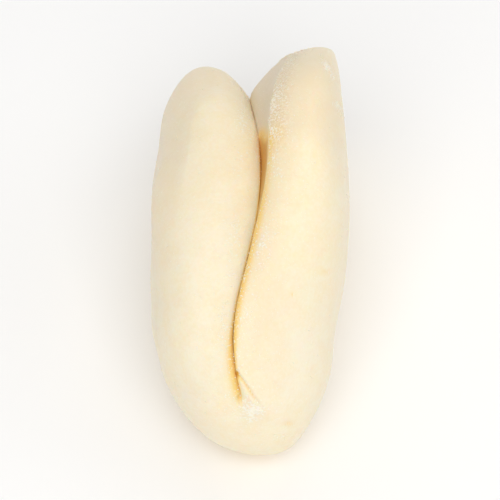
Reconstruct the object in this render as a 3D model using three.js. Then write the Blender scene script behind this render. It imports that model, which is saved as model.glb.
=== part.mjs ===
// A folded steamed bun: one oval of soft white dough, folded over once and steamed, so that two
// puffed flaps stand side by side on a thick fold, with a shut slit between them.
//
// Millimetres, +Z up. The fold runs along Y and the flaps' rims point up. The near end is at -Y,
// the right flap at +X and the left flap at -X. The bun stands on a flat spot of the fold, and the
// origin is on the floor under the middle of the bun's box.

import * as THREE from "three";

// ---- Driving dimensions: the folded oval --------------------------------------------------------

const FOLD_LENGTH = 95; // from one end of the fold to the other
const THICKNESS = 43; // across both flaps at their fullest
const RIGHT_HEIGHT = 67.6; // from the bottom of the fold to the rim, before the bottom is flattened
const LEFT_HEIGHT = 54.8; // the left flap is shorter, so its rim lies lower
const LEFT_SLIP = 2.5; // how far the left rim has slipped toward the near end
const LEFT_SLIP_POWER = 1.5; // 1 would slip the whole flap evenly, and more its rim most
const FOLD_DOUGH = 16; // dough under the slit, halfway along the fold
const NEAR_END_DOUGH = 11.4; // how much more there is at the fold's near end
const FAR_END_DOUGH = 9; // and at its far end
const OUTER_RISE = 1.6; // how much the outer skin rises toward the fold's ends
const FOLD_RADIUS_HEIGHT = 25; // how high the round of the fold reaches before the flaps stand straight
const FOLD_RADIUS_SHARE = 0.42; // share of each flap's dough that lies in that round
const ROUND_SPREAD = 0.75; // 1 would shrink that share evenly from the outer skin to the slit
const FLAT_SPOT_DEPTH = 1.5; // dough pressed flat by the floor
const FLAT_SPOT_FILLET = 0.9;

const OUTLINE_POWER = 2.1; // 2 would be an ellipse, and more is fuller
const FOLD_POWER = 2.25; // the same for the round of the fold
const OUTLINE_WAVES = [
  { share: 0.014, count: 3, phase: 0.6 },
  { share: 0.01, count: 5, phase: 2.0 },
];

// ---- Driving dimensions: the slit ---------------------------------------------------------------

const SLIT_HALF_GAP = 0.3;
const SLIT_CORNER_SHARE = 0.02; // share of a flap's dough that turns at the bottom of the slit
const SLIT_LEAN = 0.65; // sideways run of the slit for each millimetre of depth
const SLIT_LEAN_DEPTH = 3.4; // below this depth the slit runs straight down
const SLIT_LEAN_TURN = { at: -6.9, spread: 5 }; // where the lean changes sides

// Places on the slit are measured along a line that rises from the near end to the far shoulder.
const LONG_LINE_TILT = THREE.MathUtils.degToRad(52); // from upright toward the far end

// Each swell is a bell curve along that line: its height, its middle and its half width.
const SLIT_GAPE = { by: 0.1, at: 32.6, spread: 10 }; // the slit opens a little past the middle
const CREASE_FAR_BEND = { by: 4.05, at: 33.1, spread: 17 }; // the slit wanders to the right ...
const CREASE_NEAR_BEND = { by: -3.5, at: -4.9, spread: 15 }; // ... and back to the left
const NEAR_END_SHIFT = { by: 4.8, at: -37.4, spread: 8.9 }; // the near end points a little right
const LEFT_DIMPLE = { by: -0.03, at: 1.6, spread: 4 };
const RIGHT_WAIST = { by: -0.041, at: -5.4, spread: 11 };

// The left side narrows toward both ends, and the right side toward the near one: a share of the
// side's width, from one place to another.
const LEFT_TAPERS = [
  { by: -0.063, from: 1, to: -12 },
  { by: -0.079, from: -10.4, to: -27.4 },
  { by: -0.054, from: 24.6, to: 36.6 },
];
const RIGHT_TAPER = { by: -0.085, from: -6, to: -28 };
const RIGHT_WIDTH_SHARE = 0.98;

// ---- Driving dimensions: the rim, which changes round the outline --------------------------------

const OUTER_ROUND = 14; // depth of the round from the rim's crest to the outer skin
const INNER_ROUND = 4; // depth of the round from the rim's crest to the inner skin
const CREST_SHARE = 0.46; // where the crest lies in the dough's thickness, from the inner skin
const OUTER_POWER = 2.05;
const INNER_POWER = 2.3;
const FLAP_REACH = 62; // rounds are shares of the way from the middle of the oval to its edge

// Where the rim differs: a stretch, as its middle in degrees round the outline and the half widths
// on its two sides, and what it adds to the rim. The near end of the fold is at -90 degrees, the
// top of the right flap at 0, the far end at 90 and the top of the left flap at 180.
const RIGHT_SHOULDER = {
  stretch: { at: 50, before: 35.5, after: 54.4 },
  adds: { outer: -7.4, inner: 2.7, crest: 0.357, bevel: 0.56 },
};
const LEFT_SHOULDER = {
  stretch: { at: 134, before: 40, after: 40 },
  adds: { outer: -1.3, inner: 13.6, crest: 0.153, bevel: 0.47 },
};
const NEAR_END = {
  stretch: { at: -90, before: 34.4, after: 34.4 },
  adds: { outer: 1, inner: 0.5, crest: -0.14, bevel: 0.4 },
};
const FAR_END = {
  stretch: { at: 92, before: 24, after: 24 },
  adds: { outer: 5, inner: 0, crest: -0.2, bevel: 0 },
};
// The right lip rolls softly into the slit, under the left lip, which is crisp.
const RIGHT_LIP = {
  stretch: { at: -22, before: 32, after: 30 },
  adds: { outer: 0, inner: 3, crest: 0, bevel: 0.3 },
};
const LEFT_LIP = {
  stretch: { at: 195, before: 40, after: 38 },
  adds: { outer: 0, inner: -0.8, crest: 0, bevel: -0.2 },
};
const RIM_CHANGES = [RIGHT_SHOULDER, LEFT_SHOULDER, NEAR_END, FAR_END, RIGHT_LIP, LEFT_LIP];

const LIP_OPENING = 10.1; // how far the right flap's inner skin turns away at the far shoulder
const LIP_STRETCH = { at: 45, before: 33.5, after: 35 };
const LIP_START = 0.714; // share of the way to the rim at which it begins to turn
const LIP_CURL = 0.81; // 1 would turn evenly, and less turns mostly deep down
const LIP_CLEARANCE = 0.25; // share of the flap, up from the fold, over which the turn fades in

// ---- Driving dimensions: the puffed skin --------------------------------------------------------

const END_TAPER = 0.13; // the dough thins toward the fold's ends
const NEAR_END_TAPER = 0.05; // and a little more at the near one
const RIM_TAPER = 0.12; // and toward the rims
const SKIN_LUMPS = [
  { by: 0.3, alongY: 0.11, upZ: 0.17, phase: 0.4 },
  { by: 0.22, alongY: -0.19, upZ: 0.13, phase: 1.9 },
];

// ---- Mesh density -------------------------------------------------------------------------------

const COLUMNS = 96; // round the outline
const ROWS = 44; // from the middle of the outer skin, over the rim, to the middle of the inner skin
const END_CROWDING = 0.5; // columns stand closer at the fold's ends
// Shares of the rows at which the outer round starts, the crest lies and the inner skin starts.
const OUTER_ROUND_START = 0.26;
const CREST_ROW = 0.6;
const INNER_SKIN_START = 0.8;

const DOUGH_COLOUR = 0xf6e8c8;

// ---- Curves -------------------------------------------------------------------------------------

const { clamp, degToRad, euclideanModulo, smoothstep } = THREE.MathUtils;
const QUARTER_TURN = Math.PI / 2;

// A bell curve: 1 at its middle, and about a third one half width away.
function bell(distance, halfWidth) {
  return Math.exp(-((distance / halfWidth) ** 2));
}

function swell({ by, at, spread }, place) {
  return by * bell(place - at, spread);
}

// A ramp from 0 at one place to the whole amount at another, with soft ends.
function ramp({ by, from, to }, place) {
  return by * smoothstep((place - from) / (to - from), 0, 1);
}

function total(items, value) {
  return items.reduce((sum, item) => sum + value(item), 0);
}

// The point of a superellipse quarter at an angle, as shares of its two half axes.
function superellipse(angle, power) {
  const across = Math.abs(Math.cos(angle));
  const up = Math.abs(Math.sin(angle));
  const radius = (across ** power + up ** power) ** (-1 / power);
  return { across: Math.cos(angle) * radius, up: Math.sin(angle) * radius };
}

// How much of a stretch of the outline is felt at an angle.
function stretchShare({ at, before, after }, angle) {
  const distance = euclideanModulo(angle - degToRad(at) + Math.PI, 2 * Math.PI) - Math.PI;
  return bell(distance, degToRad(distance < 0 ? before : after));
}

// ---- The sheet of dough -------------------------------------------------------------------------

// The rim's rounds, its crest and their fullness at an angle round the outline.
function rimAt(angle) {
  const change = (key) => {
    return total(RIM_CHANGES, ({ stretch, adds }) => adds[key] * stretchShare(stretch, angle));
  };
  return {
    outer: OUTER_ROUND + change("outer"),
    inner: INNER_ROUND + change("inner"),
    crest: CREST_SHARE + change("crest"),
    innerPower: INNER_POWER - change("bevel"),
  };
}

// The edge of the flat oval in one direction, as shares of its two half axes.
function edgeAt(angle) {
  const edge = superellipse(angle, OUTLINE_POWER);
  const waves = total(OUTLINE_WAVES, ({ share, count, phase }) => {
    return share * Math.sin(count * angle + phase);
  });
  return { flap: edge.across * (1 + waves), fold: edge.up * (1 + waves) };
}

// One section through the dough, from the middle of the outer skin, over the rim, to the middle
// of the inner skin: the share of the way to the edge, and 1 for the outer skin down to 0 for the
// inner one.
function section(row, rim, reach) {
  const outer = rim.outer / reach;
  const inner = rim.inner / reach;
  if (row <= OUTER_ROUND_START) {
    return { out: (1 - outer) * (row / OUTER_ROUND_START), skin: 1 };
  }
  if (row <= CREST_ROW) {
    const turn = (row - OUTER_ROUND_START) / (CREST_ROW - OUTER_ROUND_START);
    const round = superellipse(QUARTER_TURN * turn, OUTER_POWER);
    return { out: 1 - outer + outer * round.up, skin: rim.crest + (1 - rim.crest) * round.across };
  }
  if (row <= INNER_SKIN_START) {
    const turn = (INNER_SKIN_START - row) / (INNER_SKIN_START - CREST_ROW);
    const round = superellipse(QUARTER_TURN * turn, rim.innerPower);
    return { out: 1 - inner + inner * round.up, skin: rim.crest * (1 - round.across) };
  }
  return { out: (1 - inner) * ((1 - row) / (1 - INNER_SKIN_START)), skin: 0 };
}

// ---- The fold -----------------------------------------------------------------------------------

function alongLine(y, z) {
  return y * Math.sin(LONG_LINE_TILT) + z * Math.cos(LONG_LINE_TILT);
}

// Half the thickness of the folded bun where the outer skin lies.
function halfThickness(flap, fold, side) {
  const beyondRound = Math.max(0, (flap - FOLD_RADIUS_SHARE) / (1 - FOLD_RADIUS_SHARE));
  const ends = 1 - END_TAPER * fold ** 2 - NEAR_END_TAPER * smoothstep(-fold, 0, 1);
  const lumps = total(SKIN_LUMPS, ({ by, alongY, upZ, phase }) => {
    return by * Math.sin((alongY * fold * FOLD_LENGTH) / 2 + upZ * flap * FLAP_REACH + phase + side);
  });
  return (THICKNESS / 2) * ends * (1 - RIM_TAPER * beyondRound ** 2) + lumps;
}

// Nested U curves: the outer skin follows the widest one, and the inner skin the slit. Each has a
// round bottom and two straight legs. The result is the distance from the slit and the height.
function foldedSection(flap, fold, skin, side, y) {
  const height = side > 0 ? RIGHT_HEIGHT : LEFT_HEIGHT;
  const endDough = fold < 0 ? NEAR_END_DOUGH : FAR_END_DOUGH;
  const slitBottom = FOLD_DOUGH + endDough * fold ** 2;
  const bottom = (1 - skin) * slitBottom + skin * OUTER_RISE * fold ** 2;
  const roundShare = FOLD_RADIUS_SHARE * skin ** ROUND_SPREAD + SLIT_CORNER_SHARE;
  const roundHeight = FOLD_RADIUS_HEIGHT * skin + SLIT_HALF_GAP;
  const turn = QUARTER_TURN * clamp(1 - flap / roundShare, 0, 1);
  const round = superellipse(turn, FOLD_POWER);
  const legStart = bottom + roundHeight;
  const leg = Math.max(0, (flap - roundShare) / (1 - roundShare));
  const z = legStart - roundHeight * round.up + (height - legStart) * leg;
  const halfGap = SLIT_HALF_GAP + swell(SLIT_GAPE, alongLine(y, z));
  const x = (skin * halfThickness(flap, fold, side) + (1 - skin) * halfGap) * round.across;
  return { x, z };
}

// How far the right flap's inner skin turns away from the left flap.
function lipOpening(angle, out, flap, skin) {
  const nearRim = smoothstep(out, LIP_START, 1) ** LIP_CURL;
  const clearOfFold = smoothstep(flap, 0, LIP_CLEARANCE);
  return LIP_OPENING * stretchShare(LIP_STRETCH, angle) * nearRim * clearOfFold * (1 - skin);
}

// The width of one side at a place on the long line, as a share.
function sideWidth(side, along) {
  if (side > 0) {
    return RIGHT_WIDTH_SHARE + swell(RIGHT_WAIST, along) + ramp(RIGHT_TAPER, along);
  }
  return 1 + swell(LEFT_DIMPLE, along) + total(LEFT_TAPERS, (taper) => ramp(taper, along));
}

// The slit wanders from side to side, and leans under the lip that lies in front.
function bend(x, y, z, skin) {
  const along = alongLine(y, z);
  const slitHeight = LEFT_HEIGHT - FOLD_DOUGH;
  const fromCorner = Math.hypot((2 * y) / FOLD_LENGTH, (z - FOLD_DOUGH) / slitHeight);
  const slitDepth = slitHeight * clamp(1 - fromCorner, 0, 1);
  const leanSide = Math.tanh((along - SLIT_LEAN_TURN.at) / SLIT_LEAN_TURN.spread);
  const lean = SLIT_LEAN * leanSide * SLIT_LEAN_DEPTH * Math.tanh(slitDepth / SLIT_LEAN_DEPTH);
  const crease = swell(CREASE_FAR_BEND, along) + swell(CREASE_NEAR_BEND, along);
  const inside = 1 - Math.min(1, (2 * Math.abs(x)) / THICKNESS) ** 2;
  return x - lean * (1 - skin) ** 2 + crease * inside + swell(NEAR_END_SHIFT, along);
}

// The floor presses the lowest dough flat, with a small fillet round the flat spot.
function restOnFloor(z) {
  const above = z - FLAT_SPOT_DEPTH;
  if (above <= -FLAT_SPOT_FILLET) {
    return 0;
  }
  if (above >= FLAT_SPOT_FILLET) {
    return above;
  }
  return (above + FLAT_SPOT_FILLET) ** 2 / (4 * FLAT_SPOT_FILLET);
}

// The place of one point of the skin: a direction round the outline, and a row across the dough.
function skinPoint(turn, row) {
  const angle = turn + (END_CROWDING / 2) * Math.sin(2 * turn);
  const edge = edgeAt(angle);
  const reach = Math.hypot(edge.flap * FLAP_REACH, (edge.fold * FOLD_LENGTH) / 2);
  const { out, skin } = section(row, rimAt(angle), reach);
  const side = edge.flap < 0 ? -1 : 1;
  const flap = Math.abs(out * edge.flap);
  const fold = out * edge.fold;
  const slip = side < 0 ? LEFT_SLIP * flap ** LEFT_SLIP_POWER : 0;
  const y = (fold * FOLD_LENGTH) / 2 - slip;
  const folded = foldedSection(flap, fold, skin, side, y);
  const opening = side > 0 ? lipOpening(angle, out, flap, skin) : 0;
  const x = side * (folded.x + opening) * sideWidth(side, alongLine(y, folded.z));
  return new THREE.Vector3(bend(x, y, folded.z, skin), y, restOnFloor(folded.z));
}

// ---- The bun ------------------------------------------------------------------------------------

// A sphere's grid, with its top pole in the middle of the outer skin and its bottom pole at the
// bottom of the slit, and each point moved to its place on the folded dough.
function bunGeometry() {
  const geometry = new THREE.SphereGeometry(1, COLUMNS, ROWS);
  const position = geometry.getAttribute("position");
  const uv = geometry.getAttribute("uv");
  for (let i = 0; i < position.count; i++) {
    const point = skinPoint(-QUARTER_TURN - 2 * Math.PI * uv.getX(i), 1 - uv.getY(i));
    position.setXYZ(i, point.x, point.y, point.z);
  }
  geometry.computeBoundingBox();
  const middle = geometry.boundingBox.getCenter(new THREE.Vector3());
  geometry.translate(-middle.x, -middle.y, -geometry.boundingBox.min.z);
  geometry.computeVertexNormals();
  return geometry;
}

function makeBun() {
  const dough = new THREE.MeshStandardMaterial({ color: DOUGH_COLOUR, roughness: 0.6, metalness: 0 });
  const bun = new THREE.Mesh(bunGeometry(), dough);
  bun.name = "bun";
  return bun;
}

const steamedBun = new THREE.Group();
steamedBun.name = "steamed_bun";
steamedBun.add(makeBun());

export default steamedBun;
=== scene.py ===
"""A folded steamed bun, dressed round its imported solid.

One oval of soft white dough is folded over once and steamed. Two puffed flaps stand side by side
on a thick fold, with a shut slit between them. The scene makes the bun's skin with its fine relief,
the flour that clings round the slit, and a plain pale studio.

Sizes are millimetres until a mesh is written, and metres after that. +Z is up, the fold runs
along Y, the right flap stands at +X and the left flap at -X. A place on the bun's upper side is
given by two numbers: across, which is its X, and along, which is measured on a long line that
rises from the near end of the fold to the far shoulder.
"""

import logging
import math
from dataclasses import dataclass
from dataclasses import field
from enum import Enum
from itertools import product
from typing import Any

import bpy
import numpy as np
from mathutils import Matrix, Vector


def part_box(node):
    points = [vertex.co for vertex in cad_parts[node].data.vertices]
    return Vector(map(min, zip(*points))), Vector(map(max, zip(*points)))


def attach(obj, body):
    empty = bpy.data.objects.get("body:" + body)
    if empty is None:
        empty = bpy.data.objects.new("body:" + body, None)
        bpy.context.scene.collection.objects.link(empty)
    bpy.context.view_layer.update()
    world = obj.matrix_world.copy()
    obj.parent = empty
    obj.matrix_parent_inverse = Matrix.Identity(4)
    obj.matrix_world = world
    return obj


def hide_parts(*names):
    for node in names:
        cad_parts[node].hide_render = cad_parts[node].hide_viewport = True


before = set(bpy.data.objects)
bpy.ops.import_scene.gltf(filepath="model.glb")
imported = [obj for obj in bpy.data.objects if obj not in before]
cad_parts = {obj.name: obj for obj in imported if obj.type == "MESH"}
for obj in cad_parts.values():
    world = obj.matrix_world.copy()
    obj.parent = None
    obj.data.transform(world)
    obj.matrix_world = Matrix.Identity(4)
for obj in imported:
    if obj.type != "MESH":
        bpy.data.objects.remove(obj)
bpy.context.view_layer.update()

Array = np.ndarray

log = logging.getLogger("steamed_bun")

MM = 0.001
QUARTER_TURN = math.pi / 2
NODE = "bun"
BODY = "root"

# The long line's tilt, from upright toward the far end of the fold.
LONG_LINE_TILT = math.radians(52)
LONG_LINE = np.array([0.0, math.sin(LONG_LINE_TILT), math.cos(LONG_LINE_TILT)])
# Straight out of the upper side, square to the long line and to X.
UPPER_SIDE = np.array([0.0, -math.cos(LONG_LINE_TILT), math.sin(LONG_LINE_TILT)])
# Below this share of the dough's thickness a place counts as the inner skin.
INNER_SKIN = 0.02


class Side(Enum):
    """A flap of the bun, as the sign of its X."""

    LEFT = -1
    RIGHT = 1


# ---- Curves ----


def bell(distance: Array, half_width: Array | float) -> Array:
    """A bell curve, 1 in its middle: e to the power of minus the square of distance over half width."""
    return np.exp(-((distance / half_width) ** 2))


def smooth(share: Array) -> Array:
    """A soft step from 0 to 1: three times the share squared minus twice its cube."""
    held = np.clip(share, 0.0, 1.0)
    return held * held * (3.0 - 2.0 * held)


def superellipse(angle: Array, power: Array | float) -> tuple[Array, Array]:
    """A superellipse: cosine and sine, over the power-th root of the sum of their powers.

    Args:
        angle: Direction from the middle, in radians.
        power: 2 for a circle, and more for a fuller curve.

    Returns:
        The point's shares of the two half axes.
    """
    across = np.cos(angle)
    up = np.sin(angle)
    radius = (np.abs(across) ** power + np.abs(up) ** power) ** (-1.0 / power)
    return across * radius, up * radius


@dataclass(frozen=True)
class Swell:
    """A bell-shaped change along the long line."""

    by: float
    at: float
    spread: float

    def over(self, place: Array) -> Array:
        """The change at each place: its height times a bell round its middle."""
        return self.by * bell(place - self.at, self.spread)


@dataclass(frozen=True)
class Ramp:
    """A change that grows softly from nothing at one place to the whole at another."""

    by: float
    start: float
    end: float

    def over(self, place: Array) -> Array:
        """The change at each place: its height times a soft step from start to end."""
        return self.by * smooth((place - self.start) / (self.end - self.start))


@dataclass(frozen=True)
class Stretch:
    """A stretch of the outline, in degrees: its middle and the half widths on its two sides."""

    at: float
    before: float
    after: float

    def share(self, angle: Array) -> Array:
        """How much of the stretch is felt: a bell whose half width differs on its two sides.

        Args:
            angle: Direction round the outline, in radians.

        Returns:
            1 at the stretch's middle, down to 0 away from it.
        """
        distance = np.mod(angle - math.radians(self.at) + math.pi, 2 * math.pi) - math.pi
        half_width = np.where(distance < 0, math.radians(self.before), math.radians(self.after))
        return bell(distance, half_width)


@dataclass(frozen=True)
class RimChange:
    """What one stretch adds to the rim's rounds, to its crest and to the bevel of its inner round."""

    stretch: Stretch
    outer: float
    inner: float
    crest: float
    bevel: float


@dataclass(frozen=True)
class Wave:
    """One sine wave in the flat oval's edge."""

    share: float
    count: int
    phase: float


@dataclass(frozen=True)
class Lump:
    """One slow sine wave over a flap's outer skin."""

    by: float
    along_y: float
    up_z: float
    phase: float

    def over(self, y: Array, z: Array, side: Array) -> Array:
        """The wave's height: a sine of a sum of y and z, with another phase on each side."""
        return self.by * np.sin(self.along_y * y + self.up_z * z + self.phase + side)


# ---- Noise ----

# Large odd numbers that scatter whole-number places over all values.
HASH_FACTORS = (73856093, 19349663, 83492791)
HASH_SEED_FACTOR = 2654435761
HASH_MASK = 0xFFFFFFFF
HASH_SHIFTS = (15, 13)


def scattered(cells: Array, seed: int) -> Array:
    """Random values for whole-number places: a product hash, with its bits folded twice.

    Args:
        cells: Whole-number places, with x, y, z last.
        seed: Picks one set of values.

    Returns:
        A value between -1 and 1 for each place, the same on every run.
    """
    value = (cells * np.array(HASH_FACTORS, np.int64)).sum(-1) + seed * HASH_SEED_FACTOR
    value = value & HASH_MASK
    for shift in HASH_SHIFTS:
        value = ((value ^ (value >> shift)) * HASH_FACTORS[0]) & HASH_MASK
    return value / (HASH_MASK / 2.0) - 1.0


def noise(points: Array, size: float, seed: int) -> Array:
    """Value noise: random values at the corners of cubes, blended by soft steps along x, y, z.

    Args:
        points: Places, with x, y, z last.
        size: Side of one cube, in the same units.
        seed: Picks one pattern.

    Returns:
        A smooth value between -1 and 1 at each place.
    """
    scaled = points / size
    low = np.floor(scaled).astype(np.int64)
    fade = smooth(scaled - low)
    value = np.zeros(points.shape[:-1])
    for corner in product((0, 1), repeat=3):
        weight = np.where(corner, fade, 1.0 - fade).prod(-1)
        value += weight * scattered(low + np.array(corner), seed)
    return value


def layered_noise(points: Array, size: float, seed: int, layers: int) -> Array:
    """Noise over noise: each layer has half the size and half the height of the one before it.

    Args:
        points: Places, with x, y, z last.
        size: Size of the largest lumps.
        seed: Picks one pattern.
        layers: How many layers are added.

    Returns:
        A value of about -1 to 1 at each place.
    """
    value = np.zeros(points.shape[:-1])
    weight = 0.0
    for layer in range(layers):
        share = 0.5**layer
        value += share * noise(points, size * share, seed + layer)
        weight += share
    return value / weight


# ---- The folded dough ----


@dataclass
class FlatPlaces:
    """Places in the flat dough, before it is folded."""

    # Direction round the outline, in radians, and the share of the way out to the edge.
    angle: Array
    out: Array
    # 1 on the outer skin down to 0 on the inner one.
    skin: Array
    # 1 on the right flap and -1 on the left one.
    side: Array
    # Shares of the way from the fold to the rim, and along half the fold, with its sign.
    flap: Array
    fold: Array


@dataclass
class SkinGrid:
    """Points of the skin on a grid: rows run over the dough's edge, columns round its outline."""

    points: Array
    normals: Array
    flat: FlatPlaces
    # 0 at the rim's crest and 1 where the inner skin starts.
    over_crest: Array
    # How many shares of the rows lie between a point and the start of the inner skin.
    past_lip: Array

    def across(self) -> Array:
        """Each point's place across."""
        return self.points[..., 0]

    def along(self) -> Array:
        """Each point's place on the long line."""
        return self.points @ LONG_LINE

    def on_right(self) -> Array:
        """True on the right flap."""
        return self.flat.side > 0

    def faces_up(self, start: float, end: float) -> Array:
        """A soft step over how squarely a point looks out of the upper side: its normal's share."""
        return smooth((self.normals @ UPPER_SIDE - start) / (end - start))


@dataclass
class FoldedDough:
    """The form of the bun: nested U curves, from the outer skin in to the slit."""

    fold_length: float = 95.0
    thickness: float = 43.0
    right_height: float = 67.6
    left_height: float = 54.8
    left_slip: float = 2.5
    left_slip_power: float = 1.5
    fold_dough: float = 16.0
    near_end_dough: float = 17.5
    far_end_dough: float = 9.0
    outer_rise: float = 1.6
    fold_radius_height: float = 25.0
    fold_radius_share: float = 0.42
    round_spread: float = 0.75
    flat_spot_depth: float = 1.5
    flat_spot_fillet: float = 0.9

    outline_power: float = 2.1
    fold_power: float = 2.25
    outline_waves: tuple[Wave, ...] = (Wave(0.014, 3, 0.6), Wave(0.01, 5, 2.0))

    slit_half_gap: float = 0.01
    lip_press: float = 0.8
    slit_corner_share: float = 0.02
    slit_lean: float = 0.5
    slit_lean_depth: float = 3.4
    slit_lean_turn_at: float = -6.9
    slit_lean_turn_spread: float = 5.0
    crease_bends: tuple[Swell, ...] = (Swell(3.35, 33.1, 16.0), Swell(-3.5, -4.9, 15.0))
    near_end_shift: Swell = Swell(4.8, -37.4, 8.9)
    left_dimple: Swell = Swell(-0.03, 1.6, 4.0)
    right_waist: Swell = Swell(-0.041, -5.4, 11.0)
    left_tapers: tuple[Ramp, ...] = (
        Ramp(-0.063, 1.0, -12.0),
        Ramp(-0.079, -10.4, -27.4),
        Ramp(-0.054, 24.6, 36.6),
    )
    right_tapers: tuple[Ramp, ...] = (Ramp(-0.085, -6.0, -28.0),)
    right_width_share: float = 0.98

    outer_round: float = 14.0
    inner_round: float = 4.0
    crest_share: float = 0.46
    outer_power: float = 2.05
    inner_power: float = 2.3
    flap_reach: float = 62.0
    rim_changes: tuple[RimChange, ...] = (
        RimChange(Stretch(50, 35.5, 54.4), outer=-7.4, inner=2.7, crest=0.357, bevel=0.56),
        RimChange(Stretch(134, 40, 40), outer=-1.3, inner=13.6, crest=0.153, bevel=0.47),
        RimChange(Stretch(-90, 34.4, 34.4), outer=1, inner=-0.5, crest=-0.14, bevel=0.2),
        RimChange(Stretch(92, 24, 24), outer=5, inner=0, crest=-0.2, bevel=0),
        RimChange(Stretch(-22, 32, 30), outer=0, inner=3, crest=0, bevel=0.3),
        RimChange(Stretch(195, 40, 38), outer=0, inner=-3.1, crest=-0.06, bevel=-0.8),
    )
    lip_opening: float = 10.1
    lip_stretch: Stretch = Stretch(45, 33.5, 38)
    lip_start: float = 0.714
    lip_curl: float = 0.81
    lip_clearance: float = 0.25

    end_taper: float = 0.13
    near_end_taper: float = 0.05
    rim_taper: float = 0.12
    lumps: tuple[Lump, ...] = (Lump(0.3, 0.11, 0.17, 0.4), Lump(0.22, -0.19, 0.13, 1.9))

    # Shares of the rows at which the outer round starts, the crest lies and the inner skin starts.
    outer_round_start: float = 0.42
    crest_row: float = 0.66
    inner_skin_start: float = 0.84
    end_crowding: float = 0.35

    def rim(self, angle: Array) -> tuple[Array, Array, Array, Array]:
        """The rim round the outline: its plain values plus what each stretch adds.

        Args:
            angle: Direction round the outline, in radians.

        Returns:
            Depths of the outer and inner rounds, the crest's share, and the inner round's power.
        """
        plain = (self.outer_round, self.inner_round, self.crest_share, self.inner_power)
        outer, inner, crest, power = (np.full_like(angle, value) for value in plain)
        for change in self.rim_changes:
            share = change.stretch.share(angle)
            outer += change.outer * share
            inner += change.inner * share
            crest += change.crest * share
            power -= change.bevel * share
        return outer, inner, crest, power

    def edge(self, angle: Array) -> tuple[Array, Array]:
        """The flat oval's edge: a superellipse with a few slow waves in its radius.

        Args:
            angle: Direction round the outline, in radians.

        Returns:
            Shares of the half axes across the fold and along it.
        """
        flap, fold = superellipse(angle, self.outline_power)
        radius = 1.0 + sum(w.share * np.sin(w.count * angle + w.phase) for w in self.outline_waves)
        return flap * radius, fold * radius

    def section(self, row: Array, angle: Array, reach: Array) -> tuple[Array, Array]:
        """One section through the dough, over its rim: a straight, two superellipse quarters, a straight.

        Args:
            row: 0 in the middle of the outer skin, 1 in the middle of the inner skin.
            angle: Direction round the outline, in radians.
            reach: Distance from the middle of the flat oval to its edge.

        Returns:
            The share of the way to the edge, and 1 for the outer skin down to 0 for the inner one.
        """
        outer, inner, crest, power = self.rim(angle)
        outer /= reach
        inner /= reach
        outer_turn = (row - self.outer_round_start) / (self.crest_row - self.outer_round_start)
        outer_across, outer_up = superellipse(
            QUARTER_TURN * np.clip(outer_turn, 0.0, 1.0), self.outer_power
        )
        inner_turn = (self.inner_skin_start - row) / (self.inner_skin_start - self.crest_row)
        inner_across, inner_up = superellipse(QUARTER_TURN * np.clip(inner_turn, 0.0, 1.0), power)
        parts = [row <= self.outer_round_start, row <= self.crest_row, row <= self.inner_skin_start]
        out = np.select(
            parts,
            [
                (1 - outer) * row / self.outer_round_start,
                1 - outer + outer * outer_up,
                1 - inner + inner * inner_up,
            ],
            (1 - inner) * (1 - row) / (1 - self.inner_skin_start),
        )
        skin = np.select(
            parts,
            [
                np.ones_like(row),
                crest + (1 - crest) * outer_across,
                crest * (1 - inner_across),
            ],
            0.0,
        )
        return out, skin

    def half_thickness(self, flat: FlatPlaces) -> Array:
        """Half the folded bun's thickness: tapered toward ends and rims, plus slow sine lumps.

        Args:
            flat: Places in the flat dough.

        Returns:
            Distance of the outer skin from the slit.
        """
        past_round = (flat.flap - self.fold_radius_share) / (1 - self.fold_radius_share)
        rims = 1 - self.rim_taper * np.clip(past_round, 0, None) ** 2
        ends = 1 - self.end_taper * flat.fold**2 - self.near_end_taper * smooth(-flat.fold)
        y = flat.fold * self.fold_length / 2
        z = flat.flap * self.flap_reach
        lumps = sum(lump.over(y, z, flat.side) for lump in self.lumps)
        return (self.thickness / 2) * ends * rims + lumps

    def folded_section(self, flat: FlatPlaces) -> tuple[Array, Array]:
        """Nested U curves: a superellipse round at the bottom, and straight legs above it.

        The lips press on each other, so they lie flat where they would pass through the slit.

        Args:
            flat: Places in the flat dough.

        Returns:
            Distance from the slit, and height.
        """
        inner = 1 - flat.skin
        height = np.where(flat.side > 0, self.right_height, self.left_height)
        end_dough = np.where(flat.fold < 0, self.near_end_dough, self.far_end_dough)
        slit_bottom = self.fold_dough + end_dough * flat.fold**2
        bottom = inner * slit_bottom + flat.skin * self.outer_rise * flat.fold**2
        round_share = self.fold_radius_share * flat.skin**self.round_spread + self.slit_corner_share
        round_height = self.fold_radius_height * flat.skin + self.slit_half_gap
        turn = QUARTER_TURN * np.clip(1 - flat.flap / round_share, 0.0, 1.0)
        across, up = superellipse(turn, self.fold_power)
        leg_start = bottom + round_height
        leg = np.clip((flat.flap - round_share) / (1 - round_share), 0.0, None)
        z = leg_start - round_height * up + (height - leg_start) * leg
        pressed = flat.skin * self.half_thickness(flat) - self.lip_press * inner**4
        x = np.maximum(pressed, inner * self.slit_half_gap) * across
        return x, z

    def lip(self, flat: FlatPlaces) -> Array:
        """How far the right flap's inner skin turns away: a stretch of the rim, curled up to it.

        Args:
            flat: Places in the flat dough.

        Returns:
            The distance it turns away.
        """
        near_rim = smooth((flat.out - self.lip_start) / (1 - self.lip_start)) ** self.lip_curl
        clear_of_fold = smooth(flat.flap / self.lip_clearance)
        opening = self.lip_opening * self.lip_stretch.share(flat.angle) * near_rim * clear_of_fold
        return np.where(flat.side > 0, opening * (1 - flat.skin), 0.0)

    def side_width(self, side: Array, along: Array) -> Array:
        """The width of one side: 1 plus its dimples and tapers along the long line.

        Args:
            side: 1 on the right flap and -1 on the left one.
            along: Place on the long line.

        Returns:
            The width as a share.
        """
        right = self.right_width_share + self.right_waist.over(along)
        right = right + sum(ramp.over(along) for ramp in self.right_tapers)
        left = 1 + self.left_dimple.over(along) + sum(ramp.over(along) for ramp in self.left_tapers)
        return np.where(side > 0, right, left)

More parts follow.
